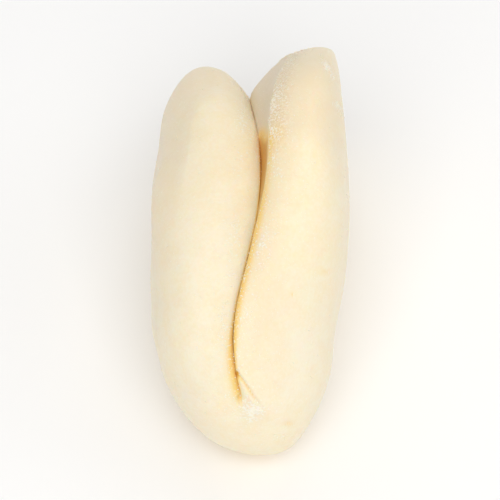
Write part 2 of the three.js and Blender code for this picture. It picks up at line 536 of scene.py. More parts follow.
    def bend(self, x: Array, y: Array, z: Array, along: Array, skin: Array) -> Array:
        """The slit wanders from side to side, and leans under the lip that lies in front.

        Args:
            x: Place across, before the bend.
            y: Place along the fold.
            z: Height.
            along: Place on the long line.
            skin: 1 for the outer skin down to 0 for the inner one.

        Returns:
            Place across, after the bend.
        """
        slit_height = self.left_height - self.fold_dough
        from_corner = np.hypot(2 * y / self.fold_length, (z - self.fold_dough) / slit_height)
        slit_depth = slit_height * np.clip(1 - from_corner, 0.0, 1.0)
        lean_side = np.tanh((along - self.slit_lean_turn_at) / self.slit_lean_turn_spread)
        lean_depth = self.slit_lean_depth * np.tanh(slit_depth / self.slit_lean_depth)
        lean = self.slit_lean * lean_side * lean_depth * (1 - skin) ** 2
        crease = sum(swell.over(along) for swell in self.crease_bends)
        inside = 1 - np.clip(2 * np.abs(x) / self.thickness, 0.0, 1.0) ** 2
        return x - lean + crease * inside + self.near_end_shift.over(along)

    def rest_on_floor(self, z: Array) -> Array:
        """The flat spot: heights under the floor become 0, with a small parabola as its fillet.

        Args:
            z: Heights, with the floor at the flat spot's depth.

        Returns:
            Heights above the floor.
        """
        above = z - self.flat_spot_depth
        half = self.flat_spot_fillet
        return np.select([above <= -half, above < half], [0.0, (above + half) ** 2 / (4 * half)], above)

    def skin_grid(self, rows: int, columns: int) -> SkinGrid:
        """The whole skin, with a pole in the middle of the outer skin and one at the slit's bottom.

        A point's direction round the outline and its row give a place in the flat dough. That
        place is folded by the nested U curves, widened, bent and pressed on the floor.

        Args:
            rows: Steps from pole to pole.
            columns: Steps round the outline.

        Returns:
            The grid, with each pole as a whole row of equal points.
        """
        turn = -QUARTER_TURN + 2 * math.pi * np.arange(columns) / columns
        row, turn = np.meshgrid(np.linspace(0.0, 1.0, rows + 1), turn, indexing="ij")
        angle = turn + self.end_crowding / 2 * np.sin(2 * turn)
        edge_flap, edge_fold = self.edge(angle)
        reach = np.hypot(edge_flap * self.flap_reach, edge_fold * self.fold_length / 2)
        out, skin = self.section(row, angle, reach)
        side = np.where(edge_flap < 0, Side.LEFT.value, Side.RIGHT.value)
        flat = FlatPlaces(angle, out, skin, side, np.abs(out * edge_flap), out * edge_fold)
        slip = np.where(side < 0, self.left_slip * flat.flap**self.left_slip_power, 0.0)
        y = flat.fold * self.fold_length / 2 - slip
        x, z = self.folded_section(flat)
        along = y * LONG_LINE[1] + z * LONG_LINE[2]
        x = side * (x + self.lip(flat)) * self.side_width(side, along)
        x = self.bend(x, y, z, along, skin)
        points = np.stack([x, y, self.rest_on_floor(z)], -1)
        over_crest = (row - self.crest_row) / (self.inner_skin_start - self.crest_row)
        return SkinGrid(points, grid_normals(points), flat, over_crest, row - self.inner_skin_start)


def grid_normals(points: Array) -> Array:
    """Normals of a grid that closes round its columns: the cross product of its two slopes.

    Args:
        points: Rows, columns, and x, y, z.

    Returns:
        Unit normals that point outwards, with a pole's normal the mean of its neighbours'.
    """
    down = np.gradient(points, axis=0)
    round_ = np.roll(points, -1, axis=1) - np.roll(points, 1, axis=1)
    normals = np.cross(round_, down)
    for pole, beside in ((0, 1), (-1, -2)):
        normals[pole] = normals[beside].mean(0)
    length = np.linalg.norm(normals, axis=-1, keepdims=True)
    return normals / np.maximum(length, 1e-12)


# ---- Fine relief ----


@dataclass(frozen=True)
class Crease:
    """A wrinkle on the upper side: a line of places (across, along), its depth and its width."""

    line: tuple[tuple[float, float], ...]
    depth: float
    width: float
    # The dough beside a wrinkle stands a little proud, as a share of its depth.
    shoulder: float = 0.35
    shoulder_width: float = 2.6
    # How much faster than along its whole length a wrinkle fades out at its end.
    fade: float = 2.5

    def near(self, across: Array, along: Array) -> tuple[Array, Array]:
        """Distance to the line: to the nearest point of each straight piece, the least of all.

        Args:
            across: Places across.
            along: Places on the long line.

        Returns:
            The distance, and a soft step down to 0 at the line's end.
        """
        nearest = np.full(across.shape, np.inf)
        progress = np.zeros(across.shape)
        pieces = len(self.line) - 1
        for number, (start, end) in enumerate(zip(self.line, self.line[1:])):
            run = np.subtract(end, start)
            share = ((across - start[0]) * run[0] + (along - start[1]) * run[1]) / (run @ run)
            share = np.clip(share, 0.0, 1.0)
            gap = np.hypot(across - start[0] - share * run[0], along - start[1] - share * run[1])
            closer = gap < nearest
            nearest = np.where(closer, gap, nearest)
            progress = np.where(closer, (number + share) / pieces, progress)
        return nearest, smooth((1 - progress) * self.fade)

    def groove_shade(self, across: Array, along: Array) -> Array:
        """The painted shade in the wrinkle's groove: its depth times a bell over the line, fading to its
        end.
        """
        distance, fade = self.near(across, along)
        return self.depth * bell(distance, self.width) * fade

    def over(self, across: Array, along: Array) -> Array:
        """The wrinkle's relief: a bell-shaped groove with a broader, lower bell round it.

        Args:
            across: Places across.
            along: Places on the long line.

        Returns:
            Height above the plain skin, negative in the groove.
        """
        distance, fade = self.near(across, along)
        groove = bell(distance, self.width)
        shoulders = self.shoulder * bell(distance, self.shoulder_width * self.width)
        return self.depth * fade * (shoulders - (1 + self.shoulder) * groove)


@dataclass(frozen=True)
class Oval:
    """A soft oval on the upper side: a swelling, a dent if its amount is negative, or a patch of colour,
    flour, painted light and painted shade.
    """

    across: float
    along: float
    half_width: float
    half_length: float
    amount: float
    turn: float = 0.0

    def over(self, across: Array, along: Array) -> Array:
        """The oval's strength: its amount times a bell over a turned oval.

        Args:
            across: Places across.
            along: Places on the long line.

        Returns:
            Its share of the relief, of the flour, or of the colour, painted light and painted shade.
        """
        cos = math.cos(math.radians(self.turn))
        sin = math.sin(math.radians(self.turn))
        right = (across - self.across) * cos + (along - self.along) * sin
        up = (along - self.along) * cos - (across - self.across) * sin
        return self.amount * bell(np.hypot(right / self.half_width, up / self.half_length), 1.0)


@dataclass(frozen=True)
class Terrace:
    """A soft edge on the left flap, outside which the skin lies a little lower: an arch."""

    # The middle of the arch's foot, half its width there and its rise.
    across: float = -6.0
    along: float = 37.5
    half_width: float = 7.6
    rise: float = 10.2
    # Below its foot the arch widens by this share of the way down, and fades out over this length.
    lean: float = 0.16
    fade_length: float = 26.0
    width: float = 2.8
    depth: float = 0.6

    def outside(self, across: Array, along: Array) -> Array:
        """How far outside the edge a place is: a soft step over half an ellipse and its two legs.

        Args:
            across: Places across.
            along: Places on the long line.

        Returns:
            0 inside, up to 1 outside, and only up and to the left.
        """
        below = np.maximum(self.along - along, 0.0)
        half_width = self.half_width + self.lean * below
        above = np.maximum(along - self.along, 0.0) / self.rise
        beyond = (np.hypot((across - self.across) / half_width, above) - 1) * half_width
        left = smooth((self.across + self.half_width / 2 - across) / self.half_width)
        return smooth(beyond / self.width + 0.5) * left * smooth(1 - below / self.fade_length)

    def over(self, across: Array, along: Array) -> Array:
        """The relief: minus the depth outside the edge."""
        return -self.depth * self.outside(across, along)


@dataclass(frozen=True)
class Roughness:
    """Relief without any plan: layered noise with a height and a size."""

    height: float
    size: float
    seed: int
    layers: int

    def over(self, points: Array) -> Array:
        """The relief at each point: the height times the noise."""
        return self.height * layered_noise(points, self.size, self.seed, self.layers)


@dataclass
class SkinRelief:
    """Everything finer than the folded form: puffiness, pores, wrinkles, dents and floury grit."""

    wrinkles: tuple[Crease, ...] = (
        Crease(((-2.7, -12.5), (-0.6, -15.4), (0.5, -17.2), (2.0, -19.4), (2.9, -21.6)), 0.36, 0.4),
        Crease(((-2.3, -17.4), (-2.2, -18.6), (-2.1, -20.0)), 0.35, 0.4),
        Crease(((7.6, -26.2), (9.4, -25.5), (10.8, -24.4)), 0.1, 0.35),
        Crease(((4.5, 39.5), (8.0, 38.0), (12.0, 36.2), (19.6, 31.8)), -0.42, 3.4),
    )
    dents: tuple[Oval, ...] = (
        Oval(8.0, -23.5, 1.7, 0.6, -0.28, turn=4.0),
        Oval(0.6, -20.4, 1.9, 1.4, 0.16),
        Oval(8.2, 39.5, 2.6, 3.6, -0.2, turn=-40.0),
    )
    terrace: Terrace = Terrace()
    puff: Roughness = Roughness(0.16, 17.0, 3, 2)
    ripple: Roughness = Roughness(0.045, 5.5, 11, 1)
    pores: Roughness = Roughness(0.016, 1.3, 23, 2)
    grit: Roughness = Roughness(0.085, 0.8, 37, 2)
    # The marks fade in between these shares of facing out of the upper side.
    facing_from: float = 0.1
    facing_to: float = 0.45

    def on(self, grid: SkinGrid, flour: Array) -> Array:
        """The relief: noises of falling size all over, and wrinkles and dents on the upper side.

        Args:
            grid: The skin.
            flour: How floury each point is, from 0 to 1.

        Returns:
            Height above the plain skin.
        """
        height = sum(kind.over(grid.points) for kind in (self.puff, self.ripple, self.pores))
        height += flour * self.grit.over(grid.points)
        marks = (*self.wrinkles, *self.dents, self.terrace)
        relief = sum(mark.over(grid.across(), grid.along()) for mark in marks)
        return height + grid.faces_up(self.facing_from, self.facing_to) * relief


# ---- Flour, golden marks, and painted light and shade ----


@dataclass
class PaintedLightAndMarks:
    """Colour over the skin: painted shade beside the slit, in the wrinkles and where the skin turns away,
    painted light and shade in patches, a few golden marks, and the knee.
    """

    # The mark at (8.1, -23.5) is painted shade in the dent there; the others are small golden marks.
    marks: tuple[Oval, ...] = (
        Oval(15.4, 8.6, 1.9, 0.8, 0.25),
        Oval(8.8, 4.0, 0.25, 0.2, 0.6),
        Oval(12.0, 5.2, 0.25, 0.2, 0.5),
        Oval(8.1, -23.5, 1.5, 0.4, 0.32),
        Oval(6.4, 37.4, 1.6, 2.6, 0.2),
    )
    # Painted shade along the grooves of the wrinkles near the slit's end.
    lines: tuple[Crease, ...] = (
        Crease(((-2.7, -12.5), (-0.6, -15.4), (0.5, -17.2), (2.0, -19.4)), 0.34, 0.36),
        Crease(((-2.6, -17.4), (-2.8, -18.4), (-3.0, -19.4)), 0.05, 0.5),
    )
    # Marks fade in as the skin turns to face out of the upper side, up to this share.
    marks_face: float = 0.3
    # The golden strip beside the slit is painted shade, over a wider strip on the flap that lies behind, as
    # shares of its dough.
    front_width: float = 0.014
    right_behind_width: float = 0.052
    left_behind_width: float = 0.085
    veil: float = 0.24
    veil_width: float = 2.5
    # The share of the dough over which the lips lie flat on each other.
    pressed_share: float = 0.037
    # The painted shade is darker where the slit gapes most, and lighter where it nears the lip.
    strip_amount: float = 0.73
    deeper_shade: Swell = Swell(0.27, 30.5, 9.0)
    lip_fade: float = 0.6
    lip_fade_reach: float = 0.042
    near_end_fade: Ramp = Ramp(1.0, -21.5, -15.5)
    left_lip_fade: Ramp = Ramp(0.85, 33.0, 41.0)
    swap_at: float = -6.9
    swap_spread: float = 4.5
    # The right flap's inner skin has painted shade where it turns away to face upwards: places on the long
    # line, and shares of the inner round.
    shade_starts: Ramp = Ramp(1.0, 35.4, 40.0)
    # Its edge wanders by this much, in lumps of this size.
    shade_edge: float = 1.3
    shade_edge_size: float = 4.0
    shade_seed: int = 71
    shade_from: float = 0.2
    shade_to: float = 0.85
    # Painted shade outside the left flap's terrace, as a share.
    terrace_shade: float = 0.36
    # Painted shade darkens the right flap a little above a line that falls to the right.
    top_line_fall: float = 0.45
    top_shade: Ramp = Ramp(0.26, 38.0, 44.0)
    # Painted shade on the left flap's flank, and on the right flap beside its lip.
    left_flank_shade: Oval = Oval(-18.5, 18.0, 4.5, 15.0, 0.22)
    right_lip_shade: Oval = Oval(3.2, 5.0, 5.2, 19.0, 0.3)
    # Painted shade makes the skin more cream-coloured on the right flap's top and beside its lip, and
    # painted light makes it paler on the left flap and low on the right flap.
    light_and_shade_patches: tuple[Oval, ...] = (
        Oval(12.0, 47.0, 9.0, 9.0, 0.38),
        Oval(5.0, 27.0, 3.5, 9.0, 0.4),
        Oval(-12.0, 12.0, 5.0, 14.0, -0.4),
        Oval(-4.5, 14.0, 3.0, 13.0, -0.55),
        Oval(-10.0, -10.0, 6.0, 10.0, -0.4),
        Oval(10.0, -8.0, 6.0, 13.0, -0.5),
    )
    # The knee is the rough band where that skin turns over the lip.
    knee_at: float = 0.1
    knee_spread: float = 0.16
    knee_reach: float = 0.016
    knee_starts: Ramp = Ramp(1.0, -16.0, 0.0)
    knee_ends: Ramp = Ramp(-1.0, 35.0, 75.0)

    def painted_slit_shade(self, grid: SkinGrid) -> Array:
        """The golden strip of painted shade in the slit: a narrow bell in a wider one, out from the slit
        through the dough.

        Args:
            grid: The skin.

        Returns:
            How much golden painted shade each point has, from 0 to 1.
        """
        along = grid.along()
        behind = (1 + grid.flat.side * np.tanh((along - self.swap_at) / self.swap_spread)) / 2
        behind_width = np.where(grid.on_right(), self.right_behind_width, self.left_behind_width)
        width = self.front_width + (behind_width - self.front_width) * behind
        open_skin = np.maximum(grid.flat.skin - self.pressed_share, 0.0)
        strip = (1 - self.veil) * bell(open_skin, width)
        strip += self.veil * bell(open_skin, width * self.veil_width)
        deeper_shade = self.deeper_shade.over(along)
        above_wall = 1 - smooth(grid.past_lip / self.lip_fade_reach)
        right_fade = self.lip_fade * above_wall * deeper_shade / self.deeper_shade.by
        fade = 1 - np.where(grid.on_right(), right_fade, self.left_lip_fade.over(along))
        return strip * (self.strip_amount + deeper_shade) * fade * self.near_end_fade.over(along)

    def on(self, grid: SkinGrid, tan: Array) -> Array:
        """The golden painted shade beside the slit, plus the marks where the skin faces out of the upper
        side.

        Args:
            grid: The skin.
            tan: The painted shade at each point. The golden strip is left off where it lies.

        Returns:
            How golden each point is, from 0 to 1.
        """
        across = grid.across()
        along = grid.along()
        marks = sum(mark.over(across, along) for mark in self.marks)
        marks += sum(line.groove_shade(across, along) for line in self.lines)
        marks *= grid.faces_up(0.0, self.marks_face)
        return np.clip(self.painted_slit_shade(grid) * (1 - tan) + marks, 0.0, 1.0)

    def tan(self, grid: SkinGrid, terrace: Terrace) -> Array:
        """Painted shade at each point: a soft step over the right flap's inner round, where it turns away,
        and a trace elsewhere.

        Args:
            grid: The skin.
            terrace: The left flap's soft edge, outside which painted shade darkens the skin a little.

        Returns:
            Up to 1 on the right flap's inner skin near its far shoulder.
        """
        across = grid.across()
        along = grid.along()
        uneven = self.shade_edge * noise(grid.points, self.shade_edge_size, self.shade_seed)
        inner = smooth((grid.over_crest - self.shade_from) / (self.shade_to - self.shade_from))
        inner = inner * self.shade_starts.over(along + uneven) * grid.on_right()
        left = self.terrace_shade * terrace.outside(across, along) + self.left_flank_shade.over(across, along)
        right = self.top_shade.over(along + self.top_line_fall * across)
        right += self.right_lip_shade.over(across, along)
        right *= grid.faces_up(0.0, self.marks_face)
        return np.maximum(inner, np.where(grid.on_right(), right, left))

    def painted_light_and_shade(self, grid: SkinGrid) -> Array:
        """Painted light and shade at each point, the sum of the soft patches: above 0 the skin is more
        cream-coloured where shade is painted, below 0 it is paler where light is painted.
        """
        return sum(patch.over(grid.across(), grid.along()) for patch in self.light_and_shade_patches)

    def knee(self, grid: SkinGrid) -> Array:
        """The rough band on the right lip: a bell over the dough's thickness, then one down the inner skin.

        Args:
            grid: The skin.

        Returns:
            0 to 1, with a soft step at both of the band's ends.
        """
        degrees = np.degrees(grid.flat.angle)
        lower = np.maximum(grid.past_lip, 0.0)
        band = bell(grid.flat.skin - self.knee_at, self.knee_spread) * bell(lower, self.knee_reach)
        band = band * (grid.over_crest > 0) * grid.on_right()
        return band * (self.knee_starts.over(degrees) + self.knee_ends.over(degrees))


@dataclass
class FlourMap:
    """Where flour clings: on the inner skins, over the lips of the slit, and in a few patches."""

    patches: tuple[Oval, ...] = (
        Oval(0.4, -20.4, 1.8, 1.5, 0.95),
        Oval(2.3, -20.4, 0.9, 0.8, 0.6),
        Oval(0.6, -22.4, 1.2, 0.8, 0.3),
        Oval(6.4, -26.6, 2.0, 0.7, 0.5),
        Oval(4.5, 44.0, 2.4, 4.0, 0.2),
        Oval(4.4, 30.0, 1.4, 7.0, 0.1),
        Oval(-1.8, 41.4, 1.2, 3.0, 0.6),
        Oval(-2.6, 31.9, 1.0, 3.0, 0.3),
        Oval(-3.2, 16.0, 1.4, 4.0, 0.3),
        Oval(2.9, 13.0, 1.4, 3.0, 0.3),
        Oval(-4.7, 5.0, 1.4, 4.0, 0.25),
        Oval(-5.5, -2.0, 1.2, 3.0, 0.25),
        Oval(-0.8, -0.6, 1.2, 2.0, 0.22),
        Oval(15.2, 53.6, 0.7, 1.2, 0.6),
        Oval(16.3, 52.2, 0.7, 1.2, 1.3),
        Oval(17.4, 50.0, 0.6, 1.4, 1.2),
        Oval(18.4, 43.9, 0.9, 0.8, 1.3),
        Oval(19.6, 42.8, 0.9, 0.9, 1.3),
        Oval(5.0, 37.4, 0.8, 1.0, 0.2),
    )
    # Flour on both lips, out from the slit through the dough, and less of it right on the inner skin.
    lip_amount: float = 0.32
    lip_reach: float = 0.3
    inner_amount: float = 0.1
    inner_reach: float = 0.015
    # The knee has flour of its own, and the lip's flour is left off it by this share.
    knee_amount: float = 0.38
    knee_bare: float = 0.8
    # The flour is broken up by noise with this middle, swing and size.
    clump_middle: float = 0.72
    clump_swing: float = 0.5
    clump_size: float = 3.4
    clump_seed: int = 51
    # Patches fade in as the skin turns to face out of the upper side, up to this share.
    patches_face: float = 0.3

    def on(self, grid: SkinGrid, knee: Array) -> Array:
        """The flour: over both lips, on the knee and in patches, broken up by noise.

        Args:
            grid: The skin.
            knee: The rough band on the right lip.

        Returns:
            The amount of flour at each point, from 0 to 1.
        """
        skin = grid.flat.skin
        lips = self.lip_amount * bell(skin, self.lip_reach) * (1 - self.knee_bare * knee)
        inner = (self.inner_amount - self.lip_amount) * bell(skin, self.inner_reach)
        patches = sum(patch.over(grid.across(), grid.along()) for patch in self.patches)
        patches = patches * grid.faces_up(0.0, self.patches_face) * smooth(skin / INNER_SKIN)
        noises = layered_noise(grid.points, self.clump_size, self.clump_seed, 3)
        clumps = self.clump_middle + self.clump_swing * noises
        return np.clip((lips + inner + patches + self.knee_amount * knee) * clumps, 0.0, 1.0)


# ---- Shader graphs ----


class Graph:
    """A material's node tree, with short ways to add and join its nodes."""

    def __init__(self, name: str) -> None:
        """Makes an empty material with that name.

        Args:
            name: The material's name.
        """
        self.material = bpy.data.materials.new(name)
        self.material.use_nodes = True
        self.tree = self.material.node_tree
        self.tree.nodes.clear()

    def node(self, kind: str, settings: dict[str, Any] | None = None, **sockets: Any) -> bpy.types.Node:
        """Adds a node.

        Args:
            kind: Blender's name of the node, without its ShaderNode prefix.
            settings: The node's own properties.
            **sockets: A value or another node's output for each input, by name or by _number.

        Returns:
            The node.
        """
        made = self.tree.nodes.new("ShaderNode" + kind)
        for key, value in (settings or {}).items():
            setattr(made, key, value)
        for key, value in sockets.items():
            socket = made.inputs[int(key[1:])] if key[0] == "_" else made.inputs[key.replace("_", " ")]
            if isinstance(value, bpy.types.NodeSocket):
                self.tree.links.new(value, socket)
            else:
                socket.default_value = value
        return made

    def maths(self, operation: str, first: Any, second: Any = 0.0) -> bpy.types.NodeSocket:
        """One sum on two numbers or outputs, by Blender's name of the sum."""
        return self.node("Math", {"operation": operation}, _0=first, _1=second).outputs[0]

    def mix(self, share: Any, first: Any, second: Any) -> bpy.types.NodeSocket:
        """Blends two colours or outputs: a share of 0 gives the first one and 1 the second."""
        settings = {"data_type": "RGBA", "clamp_factor": True}
        return self.node("Mix", settings, _0=share, _6=first, _7=second).outputs[2]

    def step(
        self, value: Any, start: float, end: float, low: float = 0.0, high: float = 1.0
    ) -> bpy.types.NodeSocket:
        """A soft step of an output, from low to high as it goes from start to end."""
        settings = {"interpolation_type": "SMOOTHSTEP"}
        return self.node("MapRange", settings, _0=value, _1=start, _2=end, _3=low, _4=high).outputs[0]

    def noise(self, size: float, detail: float = 2.0, roughness: float = 0.5) -> bpy.types.NodeSocket:
        """Noise on the piece's own coordinates.

        Args:
            size: Size of its lumps in millimetres.
            detail: Layers of finer noise.
            roughness: How strong those are.

        Returns:
            The noise's value, about 0.5 on average.
        """
        place = self.node("TexCoord").outputs["Object"]
        made = self.node("TexNoise", Vector=place, Scale=1 / (size * MM), Detail=detail, Roughness=roughness)
        return made.outputs["Fac"]

    def attribute(self, name: str) -> bpy.types.NodeSocket:
        """A number that the mesh carries at its points."""
        return self.node("Attribute", {"attribute_name": name}).outputs["Fac"]

    def surface(self, shader: bpy.types.Node) -> bpy.types.Material:
        """Makes a shader the material's surface.

        Args:
            shader: The shader's node.

        Returns:
            The material.
        """
        out = self.node("OutputMaterial")
        self.tree.links.new(shader.outputs[0], out.inputs["Surface"])
        return self.material


Colour = tuple[float, float, float, float]


@dataclass(frozen=True)
class SteamedDough:
    """The skin: cream, softly mottled, with painted light and shade, painted shade golden and deep beside
    the slit, and whitened where flour clings.
    """

    cream: Colour = (0.94, 0.80, 0.555, 1.0)
    pale: Colour = (0.96, 0.86, 0.68, 1.0)
    # Golden is the colour of painted shade in the slit and the wrinkles and of a few small marks; deep is
    # painted shade deep in the slit.
    golden: Colour = (0.93, 0.64, 0.21, 1.0)
    deep: Colour = (0.67, 0.30, 0.025, 1.0)
    pit: Colour = (0.81, 0.66, 0.43, 1.0)
    # The colour of painted shade where the skin turns away, and in a few patches.
    tan: Colour = (0.80, 0.68, 0.49, 1.0)
    flour: Colour = (0.99, 0.94, 0.84, 1.0)
    mottle_size: float = 5.0
    speckle_size: float = 0.8
    clump_size: float = 0.45
    pit_size: float = 0.6
    pore_size: float = 0.45
    # Where each noise steps from one tone to the other, and how much two of them make paler.
    mottle_step: tuple[float, float] = (0.35, 0.65)
    speckle_step: tuple[float, float] = (0.3, 0.7)
    pit_step: tuple[float, float] = (0.56, 0.44)
    mottle: float = 0.34
    speckle: float = 0.42
    # How golden the skin is where it takes the golden colour of painted shade, and then the deep one.
    golden_step: tuple[float, float] = (0.0, 0.6)
    deep_step: tuple[float, float] = (0.5, 0.95)
    # Flour shows where fine noise plus a share of the flour passes a soft threshold.
    flour_share: float = 0.36
    flour_step: tuple[float, float] = (0.66, 0.76)
    flour_cover: float = 0.75
    roughness: float = 0.52
    floury_roughness: float = 0.9
    # Light goes less deep where the skin is golden.
    scatter_weight: float = 0.5
    golden_scatter_weight: float = 0.1
    scatter_step: tuple[float, float] = (0.2, 0.9)
    scatter_radius: tuple[float, float, float] = (1.0, 0.6, 0.32)
    scatter_depth: float = 3.0
    sheen: float = 0.1
    sheen_roughness: float = 0.5
    refraction: float = 1.4
    bump_strength: float = 0.5
    bump_height: float = 0.12
    grit: float = 2.0

    def dough_colour(self, graph: Graph, golden: Any, deep: Any) -> bpy.types.NodeSocket:
        """Mottled and speckled cream with painted light and shade, then painted shade, then the knee's pits,
        then golden and deep golden painted shade.

        Args:
            graph: The material's nodes.
            golden: How much golden painted shade the skin has.
            deep: How dark the golden painted shade is.

        Returns:
            The colour without its flour.
        """
        mottle = graph.step(graph.noise(self.mottle_size, 3.0), *self.mottle_step)
        speckle = graph.step(graph.noise(self.speckle_size), *self.speckle_step)
        mottle = graph.maths("MULTIPLY", mottle, self.mottle)
        tone = graph.maths("ADD", mottle, graph.maths("MULTIPLY", speckle, self.speckle))
        # The patches of painted light and shade move the tone: paler where light is painted, more
        # cream-coloured where shade is painted.
        colour = graph.mix(graph.maths("SUBTRACT", tone, graph.attribute("painted_light_and_shade")), self.cream, self.pale)
        # Painted shade where the skin turns away, and in a few patches.
        colour = graph.mix(graph.attribute("tan"), colour, self.tan)
        pits = graph.step(graph.noise(self.pit_size, 2.0, 0.6), *self.pit_step)
        colour = graph.mix(graph.maths("MULTIPLY", pits, graph.attribute("knee")), colour, self.pit)
        # Painted shade in the slit and the wrinkles: golden, then deep.
        colour = graph.mix(graph.step(golden, *self.golden_step), colour, self.golden)
        return graph.mix(deep, colour, self.deep)

    def material(self) -> bpy.types.Material:
        """The dough's colour, with rough flour over it where noise lets it show.

        Returns:
            The material.
        """
        graph = Graph("steamed_dough")
        # This attribute carries painted shade in the slit and the wrinkles, and a few golden marks.
        golden = graph.attribute("golden")
        deep = graph.step(golden, *self.deep_step)
        clumps = graph.noise(self.clump_size)
        share = graph.maths("MULTIPLY", graph.attribute("flour"), self.flour_share)
        floury = graph.step(graph.maths("ADD", clumps, share), *self.flour_step)
        floury = graph.maths("MULTIPLY", floury, graph.maths("SUBTRACT", 1.0, deep))
        cover = graph.maths("MULTIPLY", floury, self.flour_cover)
        pores = graph.noise(self.pore_size, 2.0, 0.55)
        grit = graph.maths("MULTIPLY", clumps, graph.maths("MULTIPLY", floury, self.grit))
        height = graph.maths("ADD", pores, grit)
        bump = graph.node(
            "Bump", Strength=self.bump_strength, Distance=self.bump_height * MM, Height=height
        )
        scatter = (*self.scatter_step, self.scatter_weight, self.golden_scatter_weight)
        shader = graph.node(
            "BsdfPrincipled",
            Base_Color=graph.mix(cover, self.dough_colour(graph, golden, deep), self.flour),
            Roughness=graph.step(floury, 0.0, 1.0, self.roughness, self.floury_roughness),
            IOR=self.refraction,
            Normal=bump.outputs[0],
            Subsurface_Weight=graph.step(golden, *scatter),
            Subsurface_Radius=self.scatter_radius,
            Subsurface_Scale=self.scatter_depth * MM,
            Sheen_Weight=self.sheen,
            Sheen_Roughness=self.sheen_roughness,
        )
        return graph.surface(shader)


@dataclass(frozen=True)
class LooseFlour:
    """Grains of flour: matt white, a little cream where they have taken up water."""

    dry: Colour = (0.97, 0.92, 0.80, 1.0)
    damp: Colour = (0.95, 0.87, 0.68, 1.0)
    damp_size: float = 2.5
    damp_step: tuple[float, float] = (0.4, 0.7)
    roughness: float = 0.95
    refraction: float = 1.3

    def material(self) -> bpy.types.Material:
        """White to cream by slow noise, quite rough.

        Returns:
            The material.
        """
        graph = Graph("loose_flour")
        damp = graph.step(graph.noise(self.damp_size), *self.damp_step)
        colour = graph.mix(damp, self.dry, self.damp)
        shader = graph.node(
            "BsdfPrincipled", Base_Color=colour, Roughness=self.roughness, IOR=self.refraction
        )
        return graph.surface(shader)


@dataclass(frozen=True)
class PaleFloor:
    """A plain matt floor, nearly white."""

    white: Colour = (0.95, 0.955, 0.965, 1.0)
    roughness: tuple[float, float] = (0.85, 0.9)
    patch_size: float = 30.0
    patch_step: tuple[float, float] = (0.3, 0.7)
    refraction: float = 1.3

    def material(self) -> bpy.types.Material:
        """One even white, with a trace of fine noise in its roughness.

        Returns:
            The material.
        """
        graph = Graph("pale_floor")
        roughness = graph.step(graph.noise(self.patch_size), *self.patch_step, *self.roughness)
        shader = graph.node(
            "BsdfPrincipled", Base_Color=self.white, Roughness=roughness, IOR=self.refraction
        )
        return graph.surface(shader)


# ---- Meshes ----


def closed_grid_faces(rows: int, columns: int) -> tuple[Array, Array]:
    """Faces of a grid that closes round its columns and ends in two poles.

    Point 0 is the first pole and the last point is the other one. Rows 1 to rows - 1 lie between.

    Args:
        rows: Steps from pole to pole.
        columns: Steps round.

    Returns:
        The quads, and the triangles at both poles.
    """
    column = np.arange(columns)
    beside = (column + 1) % columns
    first = 1 + np.arange(rows - 2)[:, None] * columns
    below = first + columns
    quads = np.stack([first + column, first + beside, below + beside, below + column], -1)
    last = 1 + (rows - 2) * columns
    end = 1 + (rows - 1) * columns
    top = np.stack([np.zeros(columns, int), 1 + beside, 1 + column], -1)
    bottom = np.stack([np.full(columns, end), last + column, last + beside], -1)
    return quads.reshape(-1, 4), np.concatenate([top, bottom])


def make_piece(
    name: str,
    points: Array,
    faces: list[list[int]],
    material: bpy.types.Material,
    values: dict[str, Array] | None = None,
) -> bpy.types.Object:
    """Puts points and faces into a smooth mesh, and the mesh into the scene at the origin.

    Args:
        name: The piece's name.
        points: Its points in millimetres.
        faces: Its faces, as lists of point numbers.
        material: Its finish.
        values: A number for each point, by attribute name.

    Returns:
        The object.
    """
    mesh = bpy.data.meshes.new(name)
    mesh.from_pydata((points * MM).tolist(), [], faces)
    mesh.materials.append(material)
    mesh.shade_smooth()
    for key, value in (values or {}).items():
        attribute = mesh.attributes.new(key, "FLOAT", "POINT")
        attribute.data.foreach_set("value", value.astype(np.float32))
    piece = bpy.data.objects.new(name, mesh)
    bpy.context.scene.collection.objects.link(piece)
    return piece


# ---- The bun ----


